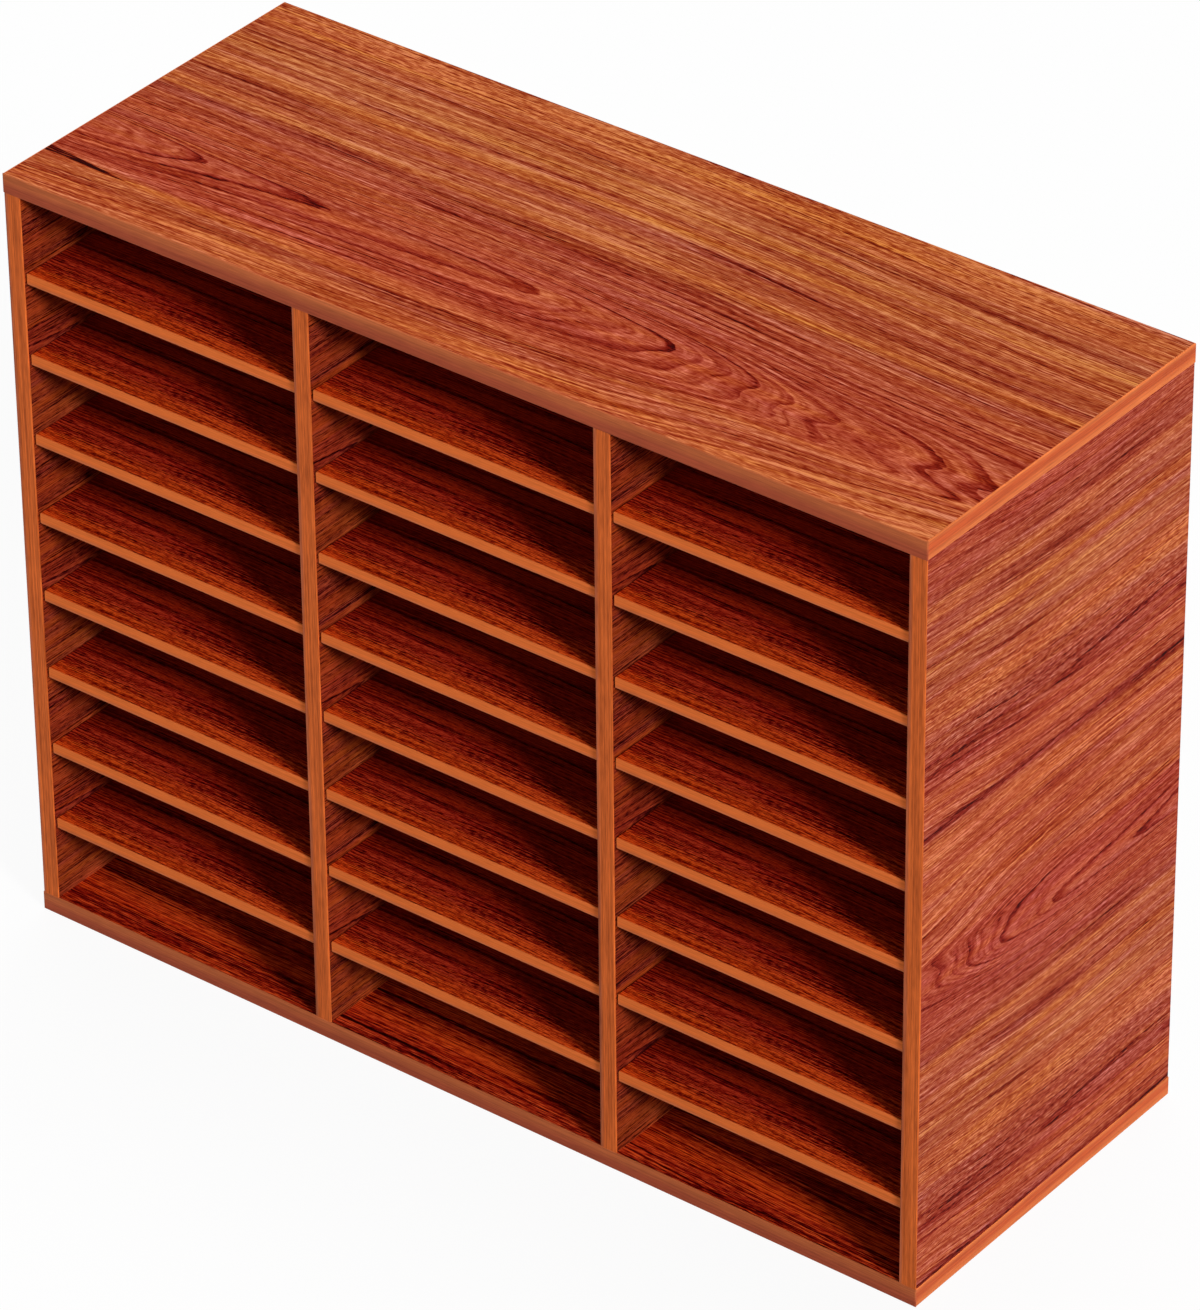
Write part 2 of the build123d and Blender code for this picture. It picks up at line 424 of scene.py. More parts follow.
def curve_through(net, points, start, end, value):
    """A smooth curve through the points, for a value between the start and the end."""
    curve = net.node("ShaderNodeFloatCurve")
    line = curve.mapping.curves[0]
    places = [((place - start) / (end - start), height) for place, height in points]
    line.points[0].location = places[0]
    line.points[1].location = places[-1]
    for place in places[1:-1]:
        line.points.new(*place)
    for point in line.points:
        point.handle_type = "AUTO_CLAMPED"
    curve.mapping.update()
    share = net.times(net.math("SUBTRACT", value, start), 1 / (end - start))
    net.feed(curve.inputs["Value"], share)
    return curve.outputs["Value"]


def rings_along(net, along):
    """How many arches of the figure have their tips before a place along the grain."""
    count = len(ARCHES) + 1
    points = [(0.0, 0.0)]
    points += [(tip, number / count) for number, tip in enumerate(ARCHES, start=1)]
    points.append((PRINT_LENGTH_MM, 1.0))
    return net.times(curve_through(net, points, 0.0, PRINT_LENGTH_MM, along), float(count))


def bluntly(net, off_centre):
    """Distance from a middle line, which starts slowly, in growth rings."""
    spread = net.math("SQRT", net.add(net.times(off_centre, off_centre), PITH_MM * PITH_MM))
    return net.times(net.add(spread, -PITH_MM), 1 / RING_MM)


def ring_ends(net, rings):
    """The dark end of each growth ring: it comes slowly and ends sharply."""
    phase = net.math("FRACT", rings)
    coming = net.step(phase, 0.5, 0.93)
    going = net.step(phase, 1.0, 0.955)
    return net.times(coming, going)


def ring_darkness(net, rings):
    """How dark each ring is: chosen for the rings with arches, and by chance for the rest."""
    count = len(ARCHES)
    chosen = net.node("ShaderNodeValToRGB", {"Fac": net.times(rings, 1 / count)})
    elements = chosen.color_ramp.elements
    chosen.color_ramp.interpolation = "CONSTANT"
    while len(elements) < count:
        elements.new(1.0)
    for number, dark in enumerate(ARCHES.values()):
        elements[number].position = number / count
        elements[number].color = (dark, dark, dark, 1.0)
    whole = net.math("FLOOR", rings)
    chance = net.node("ShaderNodeTexWhiteNoise", {"W": whole}, noise_dimensions="1D")
    others = net.add(net.times(chance.outputs["Value"], 0.8), 0.1)
    is_other = net.math("GREATER_THAN", rings, float(count))
    made = net.node("ShaderNodeMix", {0: is_other, 2: chosen.outputs["Color"], 3: others})
    return made.outputs[0]


def thin_lines(net, along, trace, depth, length, spacing):
    """Thin dark lines along the grain, so long and so far apart, that come and go."""
    level = net.noise(along, trace, depth, long=length, wide=spacing, detail=1.0)
    from_middle = net.math("ABSOLUTE", net.math("SUBTRACT", level, 0.5))
    lines = net.step(from_middle, 0.06, 0.012)
    patches = net.noise(along, trace, depth, long=length / 2, wide=spacing / 0.3, detail=1.0)
    return net.times(lines, net.step(patches, 0.4, 0.58))


class WoodPrint:
    """The wood print: where a place lies on it, and what each part of it does there."""

    def __init__(self, net, given):
        self.net = net
        self.along = given["Along"]
        self.seed = given["Seed"]
        self.fine = given["Fine"]

        # The grain wanders over a hand's breadth and ripples over a few millimetres
        across = given["Across"]
        wander = net.swing(7.0, self.along, across, self.seed, long=300, wide=90, detail=1.0)
        ripple = net.swing(1.5, self.along, across, self.seed, long=18, wide=6, detail=1.0)
        self.line = net.add(across, wander, ripple)
        self.place = net.math("WRAP", self.line, PRINT_END_MM, PRINT_START_MM)

        # How far a place lies behind the middle line, and how strong the figure is there
        bend = net.times(net.step(self.along, BEND_START_MM, BEND_END_MM), BEND_MM)
        self.off = net.add(self.place, -MIDDLE_LINE_MM, bend)
        from_middle = net.math("ABSOLUTE", self.off)
        self.near = net.step(from_middle, NO_FIGURE_MM, STRONG_FIGURE_MM)

        # Lines follow the growth rings, and each side of the middle line has its own
        self.rings = self.even_rings()
        self.trace = net.times(self.rings, RING_MM)
        self.side = net.add(self.seed, net.times(net.step(self.off, -60.0, 60.0), 2.0))
        self.fine_along = net.times(self.along, self.fine)
        self.fine_trace = net.times(self.trace, self.fine)
        self.fine_across = net.times(self.line, self.fine)

    def even_rings(self):
        """The growth ring at a place, before chance shifts it.

        Each arch has its tip on the middle line. Behind the line its legs draw in towards
        the line, and in front of it they spread more slowly.
        """
        net = self.net
        tips = rings_along(net, self.along)
        behind = net.step(self.off, 4.0, 42.0)
        drawn_in = net.add(RINGS_BEHIND, net.times(tips, -DRAWN_IN_BEHIND))
        in_front = net.times(net.step(self.off, -6.0, -30.0), DRAWN_IN_FRONT)
        further = net.times(net.step(self.off, -30.0, -130.0), DRAWN_IN_FURTHER)
        spread = net.times(net.times(tips, net.add(in_front, further)), -1.0)
        return net.add(tips, bluntly(net, self.off), net.times(drawn_in, behind), spread)

    def across_print(self, points):
        """A smooth curve through the points over the print's whole width."""
        return curve_through(self.net, points, PRINT_START_MM, PRINT_END_MM, self.place)

    def late_wood(self):
        """How dark the growth rings are, in the main figure and in the faint one."""
        net = self.net
        jitter = net.swing(0.4, self.along, self.place, self.seed, long=120, wide=24)
        tremble = net.swing(0.16, self.along, self.place, self.seed, long=10, wide=4, detail=1.0)
        rings = net.add(self.rings, jitter, tremble)
        strength = net.add(0.25, net.times(self.near, 0.75))
        strength = net.times(ring_darkness(net, rings), strength)
        late = net.times(ring_ends(net, rings), strength)

        # The legs of the faint figure are parallel, and steadier
        off = net.add(self.place, -FAINT_FIGURE_MM)
        tips = net.add(net.times(self.along, 1 / FAINT_ARCH_MM), FAINT_START)
        rings = net.add(tips, bluntly(net, off), net.times(net.add(jitter, tremble), 0.3))
        strength = net.times(net.step(net.math("ABSOLUTE", off), 34.0, 14.0), 0.5)
        return net.add(late, net.times(ring_ends(net, rings), strength))

    def drift(self):
        """Slow changes from dark to light, in long strips."""
        net = self.net
        drift = net.swing(0.5, self.along, self.trace, self.side, long=500, wide=11)
        return net.times(drift, self.fine)

    def lines(self):
        """Lines, streaks, veins and threads, which are quieter in the figure."""
        net = self.net
        lines = net.swing(
            1.85, self.along, self.fine_trace, self.side,
            long=420, wide=2.6, detail=3.0, roughness=0.75,
        )
        streaks = net.swing(
            1.7, self.fine_along, self.fine_trace, self.side, long=120, wide=1.3, detail=1.0
        )
        veins = thin_lines(net, self.along, self.fine_trace, self.side, length=460, spacing=4.5)
        others = net.add(self.side, 40.0)
        threads = thin_lines(net, self.along, self.fine_trace, others, length=240, spacing=2.6)
        thin = net.add(net.times(veins, VEIN_TONE), net.times(threads, THREAD_TONE))
        quiet = net.math("SUBTRACT", 1.0, net.times(self.near, 0.5))
        return net.times(net.add(lines, streaks, thin), quiet)

    def fibres(self):
        """Short light and dark fibres."""
        return self.net.swing(1.6, self.fine_along, self.fine_across, self.seed, long=14, wide=0.9)

    def flecks(self):
        """Flecks, which are bolder on the mottled strip."""
        net = self.net
        flecks = net.swing(
            1.2, self.fine_along, self.fine_across, self.seed, long=8, wide=1.5, detail=1.0
        )
        start = net.step(self.place, 184.0, 196.0)
        end = net.step(self.place, 275.0, 245.0)
        mottled = net.times(start, end)
        return net.times(flecks, net.add(1.0, net.times(mottled, 0.6)))

    def pores(self):
        """Pores: short dark dashes."""
        net = self.net
        level = net.noise(
            self.fine_along, self.fine_across, self.seed, long=7, wide=0.7, detail=1.0
        )
        return net.step(level, 0.6, 0.7)

    def black_streak(self):
        """One near-black streak at the left end, in strands, that runs to a point."""
        net = self.net
        slanted = net.times(self.along, STREAK_SLANT)
        from_streak = net.math("ABSOLUTE", net.add(self.line, -STREAK_MM, slanted))
        half_width = net.times(net.math("SUBTRACT", STREAK_END_MM, self.along), 0.05)
        outside = net.math("SUBTRACT", from_streak, half_width)
        strands = net.swing(4.0, self.along, self.line, self.seed, long=60, wide=1.6, detail=1.0)
        darkening = net.times(net.step(outside, 0.8, -0.4), STREAK_TONE)
        return net.times(darkening, net.math("ADD", strands, 0.8, clamp=True))

    def yellowness(self, late):
        """0 where the print is red, 1 where it is yellow; the late wood is redder."""
        net = self.net
        level = self.across_print(YELLOWNESS)
        patches = net.swing(1.0, self.along, self.line, self.seed, long=300, wide=17, detail=3.0)
        patches = net.add(patches, net.times(late, -0.6))
        return net.math("ADD", level, patches, clamp=True)

    def purple(self):
        """0 where the print is golden, 1 where it is purple."""
        net = self.net
        level = net.swing(
            2.0, self.along, self.line, net.add(self.seed, 9.0),
            long=330, wide=11, detail=4.0, roughness=0.6,
        )
        return net.math("ADD", level, 0.5, clamp=True)


def make_print_group():
    """The wood print: how light it is in each place and all round it, its hue and its pores.

    Along and Across are millimetres on the print, Fine is how fine its lines and fibres
    are, Contrast is how bold they are, and Seed picks another sheet.
    """
    net, given, result = new_group(
        "wood_print",
        ("Along", "Across", "Fine", "Contrast", "Seed"),
        ("Tone", "Body", "Yellowness", "Purple", "Pore", "Relief"),
    )
    wood = WoodPrint(net, given)
    bands = wood.across_print(LIGHTNESS)
    figure = net.times(wood.near, FIGURE_TONE)
    late = wood.late_wood()
    drift = wood.drift()
    fibres = wood.fibres()
    pores = wood.pores()
    texture = net.add(wood.lines(), fibres, wood.flecks(), GROUND_TONE)
    tone = net.add(bands, figure, drift, net.times(texture, given["Contrast"]))
    tone = net.add(tone, net.times(late, LATE_WOOD_TONE), wood.black_streak())
    tone = net.add(tone, net.times(pores, PORE_TONE))
    net.feed(result["Tone"], tone)
    net.feed(result["Body"], net.add(bands, drift, net.times(late, -0.4)))
    net.feed(result["Yellowness"], wood.yellowness(late))
    net.feed(result["Purple"], wood.purple())
    net.feed(result["Pore"], pores)
    net.feed(result["Relief"], net.math("SUBTRACT", net.times(fibres, 0.5), pores))
    return net.tree


def make_chip_group():
    """Bare chipboard: wood chips pressed flat, with small gaps between them."""
    net, given, result = new_group("chips", ("X", "Y", "Z", "Seed"), ("Tone", "Relief"))
    chips_per_mm = 0.42
    flatness = 2.6
    dust_mm = 1 / 2.2
    place = net.node(
        "ShaderNodeCombineXYZ",
        {"X": given["X"], "Y": given["Y"], "Z": net.times(given["Z"], flatness)},
    )
    cells = net.node(
        "ShaderNodeTexVoronoi",
        {"Vector": place.outputs[0], "Scale": chips_per_mm, "Randomness": 1.0},
    )
    shade = net.node("ShaderNodeSeparateColor", {"Color": cells.outputs["Color"]})
    gaps = net.step(cells.outputs["Distance"], 0.42, 0.75)
    dust = net.swing(
        0.4, given["X"], given["Y"], given["Z"], long=dust_mm, wide=dust_mm, detail=3.0
    )
    tone = net.add(0.35, net.times(shade.outputs[0], 0.4), dust, net.times(gaps, -0.35))
    net.feed(result["Tone"], net.math("ADD", tone, 0.0, clamp=True))
    net.feed(result["Relief"], net.times(net.add(net.times(gaps, -1.0), dust), 0.35))
    return net.tree


class Finish:
    """A material that is being made, with the place on the object in millimetres."""

    def __init__(self, name, roughness, specular=0.3):
        self.material = bpy.data.materials.new(name)
        self.material.use_nodes = True
        self.net = Net(self.material.node_tree)
        self.shader = self.material.node_tree.nodes["Principled BSDF"]
        self.shader.inputs["Roughness"].default_value = roughness
        self.shader.inputs["Specular IOR Level"].default_value = specular
        coordinates = self.net.node("ShaderNodeTexCoord")
        split = self.net.node("ShaderNodeSeparateXYZ", {0: coordinates.outputs["Object"]})
        self.x, self.y, self.z = (
            self.net.times(socket, MM_PER_METRE) for socket in split.outputs
        )

    def axis(self, name):
        """The place along one axis of the object, in millimetres."""
        return {"X": self.x, "Y": self.y, "Z": self.z}[name]

    def run(self, name, start=0.0, scale=1.0):
        """Millimetres on the print along an axis: the start, and so many for each real one."""
        return self.net.add(self.net.times(self.axis(name), float(scale)), float(start))

    def depth(self, name, low, high):
        """How deep a place lies under the nearer of two faces across an axis."""
        here = self.axis(name)
        under_high = self.net.math("SUBTRACT", high * MM_PER_METRE, here)
        over_low = self.net.math("SUBTRACT", here, low * MM_PER_METRE)
        return self.net.math("MINIMUM", under_high, over_low)

    def is_bare(self, name, low, high):
        """0 on the printed paper of two faces across an axis, 1 in the board between them."""
        return self.net.step(self.depth(name, low, high), PAPER_MM, PAPER_MM + PAPER_EDGE_MM)

    def bump(self, height, size_mm):
        """Relief: a height of 1 stands so many millimetres over 0."""
        made = self.net.node(
            "ShaderNodeBump",
            {"Height": height, "Distance": size_mm / MM_PER_METRE, "Strength": 1.0},
        )
        self.net.feed(self.shader.inputs["Normal"], made.outputs["Normal"])

    def colour(self, value):
        """Colour of the surface."""
        self.net.feed(self.shader.inputs["Base Color"], value)

    def roughness(self, value):
        """Roughness that varies over the surface."""
        self.net.feed(self.shader.inputs["Roughness"], value)


def node_group(name, maker):
    """The node group of that name, made on its first use."""
    return bpy.data.node_groups.get(name) or maker()


# How the print lies on a face: along and across are each an axis, a start on the print and
# a scale, fine is how fine it is printed and contrast how boldly
Lay = namedtuple("Lay", "along across fine contrast")


def from_left(start, scale=1.0):
    """To the right over the cabinet, with that place on the print at its left end."""
    return "X", start - scale * LEFT_MM, scale


def from_front(start, scale=1.0):
    """To the rear over the cabinet, with that place on the print at its front."""
    return "Y", start - scale * FRONT_MM, scale


def add_print(finish, lay, seed):
    """The wood print as it lies on a face."""
    made = finish.net.group(
        node_group("wood_print", make_print_group),
        along=finish.run(*lay.along), across=finish.run(*lay.across),
        fine=lay.fine, contrast=lay.contrast, seed=seed,
    )
    return made.outputs


def scaled(colour, factor):
    """A colour made lighter or darker."""
    return tuple(min(1.0, value * factor) for value in colour)


def print_colour(net, printed, colours):
    """Five colours from the darkest lines to the lightest fibres, with the print's hue."""
    places = (-0.5, -0.25, 0.125, 0.5, 0.875, 1.25)
    span = places[-1] - places[0]
    colours = (scaled(colours[0], 0.25), *colours)
    stops = [((tone - places[0]) / span, colour) for tone, colour in zip(places, colours)]
    body = net.ramp(net.times(net.add(printed["Tone"], -places[0]), 1 / span), stops)
    yellow = net.mix(printed["Yellowness"], *RED_TO_YELLOW)
    purple = net.mix(printed["Purple"], *GOLDEN_TO_PURPLE)
    tinted = net.tint(body, net.tint(yellow, purple))
    bright = net.step(printed["Body"], 0.3, 0.9)
    return net.tint(tinted, net.mix(bright, *COOL_TO_ORANGE))


def outer_colour(net, printed):
    """The print on the faces outside."""
    look = bpy.context.scene.organizer_print
    colours = (look.darkest, look.dark, look.middle, look.light, look.lightest)
    return print_colour(net, printed, colours)


def shaded_inner_colour(net, printed, dark, middle, light):
    """The print on a face inside the compartments, in a copy of its colours that is deeper in
    colour: painted shade.
    """
    between = tuple((a + b) / 2 for a, b in zip(middle, light))
    return print_colour(net, printed, (scaled(dark, 0.4), dark, middle, between, light))


def shaded_shelf_colour(net, printed):
    """The print on the shelves, in its deeper, redder copy: painted shade."""
    look = bpy.context.scene.organizer_print
    return shaded_inner_colour(net, printed, look.shelf_shade_dark, look.shelf_shade_middle, look.shelf_shade_light)


def shaded_wall_colour(net, printed):
    """The print on the walls of the compartments, in its darker copy: painted shade."""
    look = bpy.context.scene.organizer_print
    return shaded_inner_colour(net, printed, look.wall_shade_dark, look.wall_shade_middle, look.wall_shade_light)


def add_chips(finish, base, seed):
    """The colour and relief of bare chipboard."""
    made = finish.net.group(
        node_group("chips", make_chip_group), x=finish.x, y=finish.y, z=finish.z, seed=seed
    )
    stops = ((0.0, scaled(base, 0.42)), (0.5, base), (1.0, scaled(base, 1.35)))
    return finish.net.ramp(made.outputs["Tone"], stops), made.outputs["Relief"]


def board_finish(name, thin_axis, outside, inside, seed, inner_side, is_upright=False):
    """A board with the print on its two faces, and bare chips on its edges and in its cuts.

    The inner side, -1, 0 or 1, is the face inside a compartment; 0 means both. Outside and
    inside say how the print lies on those faces. Inside, a board has the shelves' redder colours,
    painted shade; an upright has a wall's darker colours, painted shade, lightened further in as
    painted light, and outside a painted cool light and sheen.
    """
    scene = bpy.context.scene
    look = scene.organizer_print
    finish = Finish(name, look.roughness, look.sheen_level)
    net = finish.net
    low, high = (corner["XYZ".index(thin_axis)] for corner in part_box(name))
    printed = add_print(finish, inside, seed)
    if is_upright:
        # Inside, the walls are a darker copy of the print (painted shade) and lighter further in
        # (painted light)
        paper = shaded_wall_colour(net, printed)
        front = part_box(name)[0].y * MM_PER_METRE
        painted_light_and_shade_mask = net.step(finish.y, *(front + inwards for inwards in WALL_PAINTED_LIGHT_MM))
        paper = net.mix(painted_light_and_shade_mask, paper, net.tint(paper, WALL_PAINTED_LIGHT))
    else:
        paper = shaded_shelf_colour(net, printed)
    if inner_side:
        middle = (low + high) / 2 * MM_PER_METRE
        is_inner = net.step(finish.axis(thin_axis), middle - inner_side, middle + inner_side)
        printed = add_print(finish, outside, seed)
        outer = outer_colour(net, printed)
        if is_upright:
            # A painted cool light and a faint painted sheen on the sides outside
            outer = net.mix(SIDE_PAINTED_SHEEN, net.tint(outer, SIDE_PAINTED_COOL_LIGHT), (1.0, 1.0, 1.0))
        paper = net.mix(is_inner, outer, paper)
    bare, bare_relief = add_chips(finish, scene.organizer_cores.chip, seed)
    is_bare = finish.is_bare(thin_axis, low, high)
    finish.colour(net.mix(is_bare, paper, bare))
    relief = net.times(printed["Relief"], net.math("SUBTRACT", 1.0, is_bare))
    relief = net.times(relief, PRINT_RELIEF_MM)
    finish.bump(net.add(relief, net.times(is_bare, bare_relief)), size_mm=1.0)
    in_pores = net.times(printed["Pore"], 0.12)
    finish.roughness(net.add(look.roughness, in_pores, net.times(is_bare, 0.3)))
    return finish.material


def band_finish(name, stops, long_axis, wide_axis, contrast, seed):
    """An edge band as a finish of its own."""
    look = bpy.context.scene.organizer_bands
    finish = Finish(name, look.roughness, look.sheen_level)
    finish.colour(band_colour(finish, stops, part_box(name), long_axis, wide_axis, contrast, seed))
    return finish.material


def band_colour(finish, stops, box, long_axis, wide_axis, contrast, seed):
    """An edge band: its colours from its low edge to its high one, and fine lines along it.

    Each stop is a share of the width and a colour.
    """
    net = finish.net
    along = finish.axis(long_axis)
    across = finish.axis(wide_axis)
    low, high = (corner["XYZ".index(wide_axis)] * MM_PER_METRE for corner in box)
    share = net.times(net.math("SUBTRACT", across, low), 1 / (high - low))
    waver = net.swing(0.3, along, across, seed, long=70, wide=9)
    body = net.ramp(net.add(share, waver), stops)
    lines = net.swing(1.0, along, across, seed, long=300, wide=1.5, roughness=0.6)
    clouds = net.swing(0.5, along, across, seed, long=45, wide=5)
    fibres = net.swing(0.6, along, across, seed, long=12, wide=0.6, detail=1.0)
    level = net.times(net.add(lines, clouds, fibres), contrast)
    darkest = (0.4, 0.32, 0.3)
    lightest = (1.6, 1.68, 1.7)
    return net.tint(body, net.ramp(net.add(0.5, level), ((0.0, darkest), (1.0, lightest))))


def paint(node, material):
    """Give a piece of the frame its finish."""
    mesh = frame["nodes"][node].data
    mesh.materials.clear()
    mesh.materials.append(material)


class ORGANIZER_OT_panels(bpy.types.Operator):
    """Finish the top and bottom panels"""

    bl_idname = "organizer.panels"
    bl_label = "Finish Panels"

    def execute(self, context):
        # The bottom shows another part of the print than the top, narrower and bolder
        along = from_left(0.0)
        top = Lay(along, across=from_front(-ZERO_LINE_MM), fine=1.0, contrast=1.0)
        bottom = Lay(along, across=from_front(250.0, 1.4), fine=1.0, contrast=1.3)
        for name, lay, inner_side, seed in (
            ("top_panel", top, -1, 3.0),
            ("bottom_panel", bottom, 1, 4.0),
        ):
            paint(name, board_finish(name, "Z", lay, lay, seed, inner_side))
        return {"FINISHED"}


class ORGANIZER_OT_uprights(bpy.types.Operator):
    """Finish the sides and dividers"""

    bl_idname = "organizer.uprights"
    bl_label = "Finish Uprights"

    def execute(self, context):
        # Outside it is the top's print, smaller, and its arches point to the front, about
        # 257 mm up; inside it is smaller still
        outside = Lay(
            along=from_front(685.0, -1.887), across=("Z", 347.3, -1.351),
            fine=0.74, contrast=0.85,
        )
        inside = Lay(
            along=from_front(100.0, 2.0), across=("Z", 1218.0, -2.53),
            fine=0.7, contrast=1.25,
        )
        inner_sides = (1, 0, 0, -1)
        for number, (name, inner_side) in enumerate(zip(UPRIGHTS, inner_sides)):
            seed = 3.0 if inner_side else 11.0 + number
            finish = board_finish(name, "X", outside, inside, seed, inner_side, is_upright=True)
            paint(name, finish)
        return {"FINISHED"}


class ORGANIZER_OT_shelves(bpy.types.Operator):
    """Finish the loose shelves and the bands on their fronts"""

    bl_idname = "organizer.shelves"
    bl_label = "Finish Shelves"

    def execute(self, context):
        scene = context.scene
        look = scene.organizer_print
        finish = Finish("shelf", look.roughness, look.sheen_level)
        net = finish.net
        box = self.repeat_over_cabinet(finish)

        # Further in, the print is painted darker and redder: painted shade
        lay = Lay(("X", 100.0, 2.0), ("Y", 190.0, 2.53), fine=0.75, contrast=1.35)
        printed = add_print(finish, lay, seed=31.0)
        paper = shaded_shelf_colour(net, printed)
        painted_light_and_shade_mask = net.step(finish.y, *SHELF_PAINTED_SHADE_MM)
        paper = net.mix(painted_light_and_shade_mask, paper, net.tint(paper, SHELF_PAINTED_SHADE))

        fibre = scene.organizer_cores.fibre
        flat = net.times(finish.z, 3.0)
        fibre_tone = net.add(0.5, net.swing(0.5, finish.x, finish.y, flat, detail=4.0))
        bare = net.ramp(fibre_tone, ((0.0, scaled(fibre, 0.5)), (1.0, fibre)))
        board = net.mix(finish.is_bare("Z", box[0].z, box[1].z), paper, bare)

        bands = scene.organizer_bands
        # The band is paler and pinker along its lower edge: painted highlight
        stops = ((0.08, bands.shelf_edge_highlight), (0.35, bands.shelf))
        band = band_colour(finish, stops, box, "X", "Z", contrast=0.5, seed=41.0)
        is_band = net.step(finish.y, BAND_MM, BAND_MM - BAND_EDGE_MM)
        finish.colour(net.mix(is_band, board, band))
        finish.bump(net.times(printed["Relief"], PRINT_RELIEF_MM), size_mm=1.0)
        for name in SHELVES:
            paint(name, finish.material)
        return {"FINISHED"}

    def repeat_over_cabinet(self, finish):
        """Let one finish serve all the shelves, which were cut alike, and give its box.

        The finish then counts from each shelf's front left corner, with room to spare at
        its left and below it.
        """
        low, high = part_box("left_shelf_1")
        column_pitch = (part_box("middle_shelf_1")[0].x - low.x) * MM_PER_METRE
        row_pitch = (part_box("left_shelf_2")[0].z - low.z) * MM_PER_METRE
        room = 4.0
        x = finish.run("X", room - low.x * MM_PER_METRE)
        z = finish.run("Z", room - low.z * MM_PER_METRE)
        finish.x = finish.net.math("WRAP", x, column_pitch, 0.0)
        finish.y = finish.run("Y", -low.y * MM_PER_METRE)
        finish.z = finish.net.math("WRAP", z, row_pitch, 0.0)
        corner = Vector((room, 0.0, room)) / MM_PER_METRE
        return corner, corner + high - low


class ORGANIZER_OT_bands(bpy.types.Operator):
    """Finish the edge bands of the panels and uprights"""

    bl_idname = "organizer.bands"
    bl_label = "Finish Edge Bands"

    def execute(self, context):
        look = context.scene.organizer_bands
        upright = ((0.1, look.upright_edge), (0.25, look.upright))
        front = ((0.1, look.front_edge), (0.35, look.front_edge), (0.75, look.front))
        # The panel ends are lighter near their lower and upper edges than in the upper middle:
        # painted highlights on the rounded arrises
        end = ((0.2, look.end), (0.5, look.end_edge), (0.75, look.end_edge), (0.95, look.end))
        pieces = [(f"{name}_band", upright, "Z", "X", 1.2) for name in UPRIGHTS]
        for panel in PANELS:
            pieces.append((f"{panel}_front_band", front, "X", "Z", 0.7))
            for side in ("left", "right"):
                pieces.append((f"{panel}_{side}_band", end, "Y", "Z", 0.7))
        for number, (name, stops, long_axis, wide_axis, contrast) in enumerate(pieces):
            seed = 51.0 + number
            paint(name, band_finish(name, stops, long_axis, wide_axis, contrast, seed))
        return {"FINISHED"}


class ORGANIZER_OT_backs(bpy.types.Operator):
    """Finish the hardboard back panels, printed on the inside"""

    bl_idname = "organizer.backs"
    bl_label = "Finish Back Panels"

    def execute(self, context):
        colour = context.scene.organizer_cores.hardboard
        stops = ((0.0, scaled(colour, 0.55)), (0.5, colour), (1.0, scaled(colour, 1.4)))
        # The print is on the face inside the compartments, and the rear is bare
        lay = Lay(("X", 392.0, 1.4), ("Z", 0.0, 1.4), fine=0.9, contrast=1.1)
        for number, column in enumerate(COLUMNS):
            name = f"{column}_back_panel"
            finish = Finish(name, roughness=0.62, specular=0.15)
            net = finish.net
            clouds = net.swing(0.5, finish.x, finish.z, number, long=60, wide=60, detail=3.0)
            fibres = net.swing(0.7, finish.x, finish.z, number, long=1.4, wide=1.4, detail=4.0)
            bare = net.ramp(net.add(0.5, clouds, fibres), stops)
            # The inner face has the walls' darker colours: painted shade
            paper = shaded_wall_colour(net, add_print(finish, lay, 61.0 + number))
            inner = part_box(name)[0].y * MM_PER_METRE + PAPER_MM
            is_bare = net.step(finish.y, inner, inner + PAPER_EDGE_MM)
            finish.colour(net.mix(is_bare, paper, bare))
            finish.bump(net.times(is_bare, fibres), size_mm=0.08)
            paint(name, finish.material)
        return {"FINISHED"}


class ORGANIZER_OT_fittings(bpy.types.Operator):
    """Finish the shelf runners and the dowels"""

    bl_idname = "organizer.fittings"
    bl_label = "Finish Fittings"

    def execute(self, context):
        cores = context.scene.organizer_cores
        runner_stops = ((0.0, scaled(cores.runner, 0.7)), (1.0, scaled(cores.runner, 1.4)))
        dowel_stops = ((0.0, scaled(cores.dowel, 0.7)), (1.0, cores.dowel))
        for column in COLUMNS:
            # Plastic is drawn out along the runner
            finish = Finish(f"{column}_shelf_runners", roughness=0.48)
            net = finish.net
            drag = net.swing(0.6, finish.y, finish.z, finish.x, long=30, wide=0.4)
            finish.colour(net.ramp(net.add(0.5, drag), runner_stops))
            finish.bump(drag, size_mm=0.03)
            paint(f"{column}_shelf_runners", finish.material)
        for panel in PANELS:
            # A dowel's grain runs up it
            finish = Finish(f"{panel}_dowels", roughness=0.6)
            net = finish.net
            up = net.times(finish.z, 0.1)
            grain = net.swing(0.9, finish.x, finish.y, up, long=0.5, wide=0.5)
            finish.colour(net.ramp(net.add(0.5, grain), dowel_stops))
            finish.bump(grain, size_mm=0.05)
            paint(f"{panel}_dowels", finish.material)
        return {"FINISHED"}


def seen_directly(net):
    """1 for what the camera sees, directly or in a reflection, and 0 for light."""
    path = net.node("ShaderNodeLightPath").outputs
    seen = net.math("MAXIMUM", path["Is Camera Ray"], path["Is Glossy Ray"])
    return net.math("MAXIMUM", seen, path["Is Transmission Ray"])


def make_world(stage):
    """A pale background, and the soft light from all round."""
    world = bpy.data.worlds.new("studio")
    world.use_nodes = True
    net = Net(world.node_tree)
    background = world.node_tree.nodes["Background"]
    net.feed(background.inputs["Color"], tuple(stage.backdrop))
    seen = seen_directly(net)
    light = net.times(net.math("SUBTRACT", 1.0, seen), stage.ambient)
    net.feed(background.inputs["Strength"], net.add(seen, light))
    bpy.context.scene.world = world


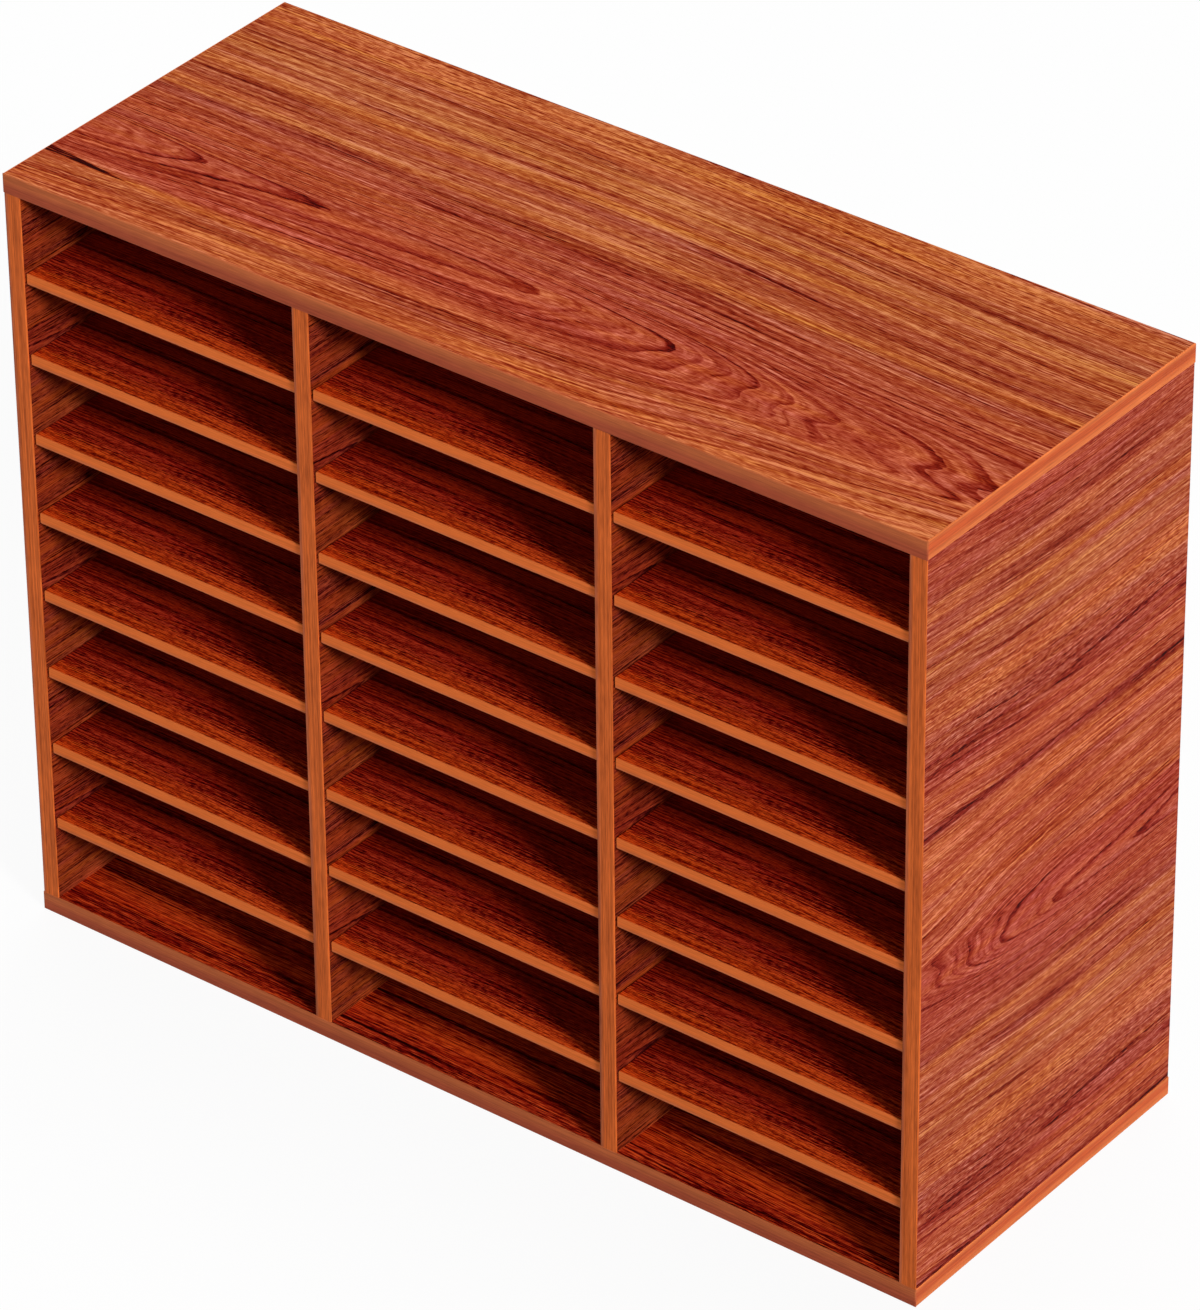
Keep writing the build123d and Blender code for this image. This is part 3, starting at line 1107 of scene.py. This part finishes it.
def make_floor(stage):
    """A plain pale floor, which keeps a faint shadow."""
    half_width = 12.0
    greyness = 0.35
    glow_strength = 1.15
    glow_share = 0.8
    mesh = bpy.data.meshes.new("floor")
    signs = ((-1, -1), (1, -1), (1, 1), (-1, 1))
    corners = [(x * half_width, y * half_width, 0) for x, y in signs]
    mesh.from_pydata(corners, [], [(0, 1, 2, 3)])
    floor = bpy.data.objects.new("floor", mesh)
    bpy.context.scene.collection.objects.link(floor)
    finish = Finish("floor", roughness=0.9, specular=0.0)
    net = finish.net
    finish.colour(scaled(stage.backdrop, greyness))
    glow = net.node(
        "ShaderNodeEmission", {"Color": tuple(stage.backdrop), "Strength": glow_strength}
    )
    blend = net.node("ShaderNodeMixShader", {0: net.times(seen_directly(net), glow_share)})
    net.feed(blend.inputs[1], finish.shader.outputs["BSDF"])
    net.feed(blend.inputs[2], glow.outputs["Emission"])
    output = finish.material.node_tree.nodes["Material Output"]
    net.feed(output.inputs["Surface"], blend.outputs["Shader"])
    mesh.materials.append(finish.material)
    floor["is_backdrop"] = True


def add_lamp(name, direction, spread, level):
    """A soft far-off lamp in that direction; at level 1 it lights a white sheet fully."""
    data = bpy.data.lights.new(name, "SUN")
    data.angle = math.radians(spread)
    data.energy = level * math.pi
    lamp = bpy.data.objects.new(name, data)
    bpy.context.scene.collection.objects.link(lamp)
    lamp.matrix_world = Vector(direction).to_track_quat("Z", "Y").to_matrix().to_4x4()


def add_camera(stage):
    """The camera, turned and rolled as its angles say."""
    azimuth, elevation = stage.azimuth, stage.elevation
    back = Vector(
        (
            math.sin(azimuth) * math.cos(elevation),
            -math.cos(azimuth) * math.cos(elevation),
            math.sin(elevation),
        )
    )
    right = Vector((0, 0, 1)).cross(back).normalized()
    up = back.cross(right)
    turn = Matrix((right, up, back)).transposed() @ Matrix.Rotation(stage.roll, 3, "Z")
    data = bpy.data.cameras.new("camera")
    data.lens = stage.lens
    camera = bpy.data.objects.new("camera", data)
    bpy.context.scene.collection.objects.link(camera)
    place = Vector(stage.aim) + back * stage.distance
    camera.matrix_world = Matrix.Translation(place) @ turn.to_4x4()
    bpy.context.scene.camera = camera


class ORGANIZER_OT_stage(bpy.types.Operator):
    """Set the floor, the background, the lamps and the camera"""

    bl_idname = "organizer.stage"
    bl_label = "Set the Stage"

    def execute(self, context):
        stage = context.scene.organizer_stage
        context.scene.view_settings.view_transform = "Standard"
        make_world(stage)
        make_floor(stage)
        add_lamp("key_lamp", (1.0, -0.33, 0.48), spread=12.0, level=stage.key_level)
        add_lamp("top_lamp", (-0.1, 0.25, 0.96), spread=30.0, level=stage.top_level)
        add_lamp("front_lamp", (-0.1, -1.0, 0.0), spread=24.0, level=stage.front_level)
        add_camera(stage)
        return {"FINISHED"}


class ORGANIZER_PT_sidebar(bpy.types.Panel):
    """The organizer's pieces and their finishes"""

    bl_idname = "ORGANIZER_PT_sidebar"
    bl_label = "Literature Organizer"
    bl_space_type = "VIEW_3D"
    bl_region_type = "UI"
    bl_category = "Organizer"

    def draw(self, context):
        for operator in OPERATORS:
            self.layout.operator(operator.bl_idname)
        for attribute, group in SETTINGS.items():
            box = self.layout.box()
            box.label(text=group.__doc__)
            for name in group.__annotations__:
                box.prop(getattr(context.scene, attribute), name)


OPERATORS = (
    ORGANIZER_OT_panels,
    ORGANIZER_OT_uprights,
    ORGANIZER_OT_shelves,
    ORGANIZER_OT_bands,
    ORGANIZER_OT_backs,
    ORGANIZER_OT_fittings,
    ORGANIZER_OT_stage,
)
SETTINGS = {
    "organizer_print": OrganizerPrint,
    "organizer_bands": OrganizerBands,
    "organizer_cores": OrganizerCores,
    "organizer_stage": OrganizerStage,
}
CLASSES = (*SETTINGS.values(), *OPERATORS, ORGANIZER_PT_sidebar)


def register():
    """Add the classes, and the settings to the scene."""
    for item in CLASSES:
        bpy.utils.register_class(item)
    for attribute, group in SETTINGS.items():
        setattr(bpy.types.Scene, attribute, bpy.props.PointerProperty(type=group))


def unregister():
    """Take the settings and the classes out again."""
    for attribute in SETTINGS:
        delattr(bpy.types.Scene, attribute)
    for item in reversed(CLASSES):
        bpy.utils.unregister_class(item)


def main():
    """Finish the organizer and set the stage."""
    register()
    bpy.ops.organizer.panels()
    bpy.ops.organizer.uprights()
    bpy.ops.organizer.shelves()
    bpy.ops.organizer.bands()
    bpy.ops.organizer.backs()
    bpy.ops.organizer.fittings()
    bpy.ops.organizer.stage()


if __name__ == "__main__":
    main()
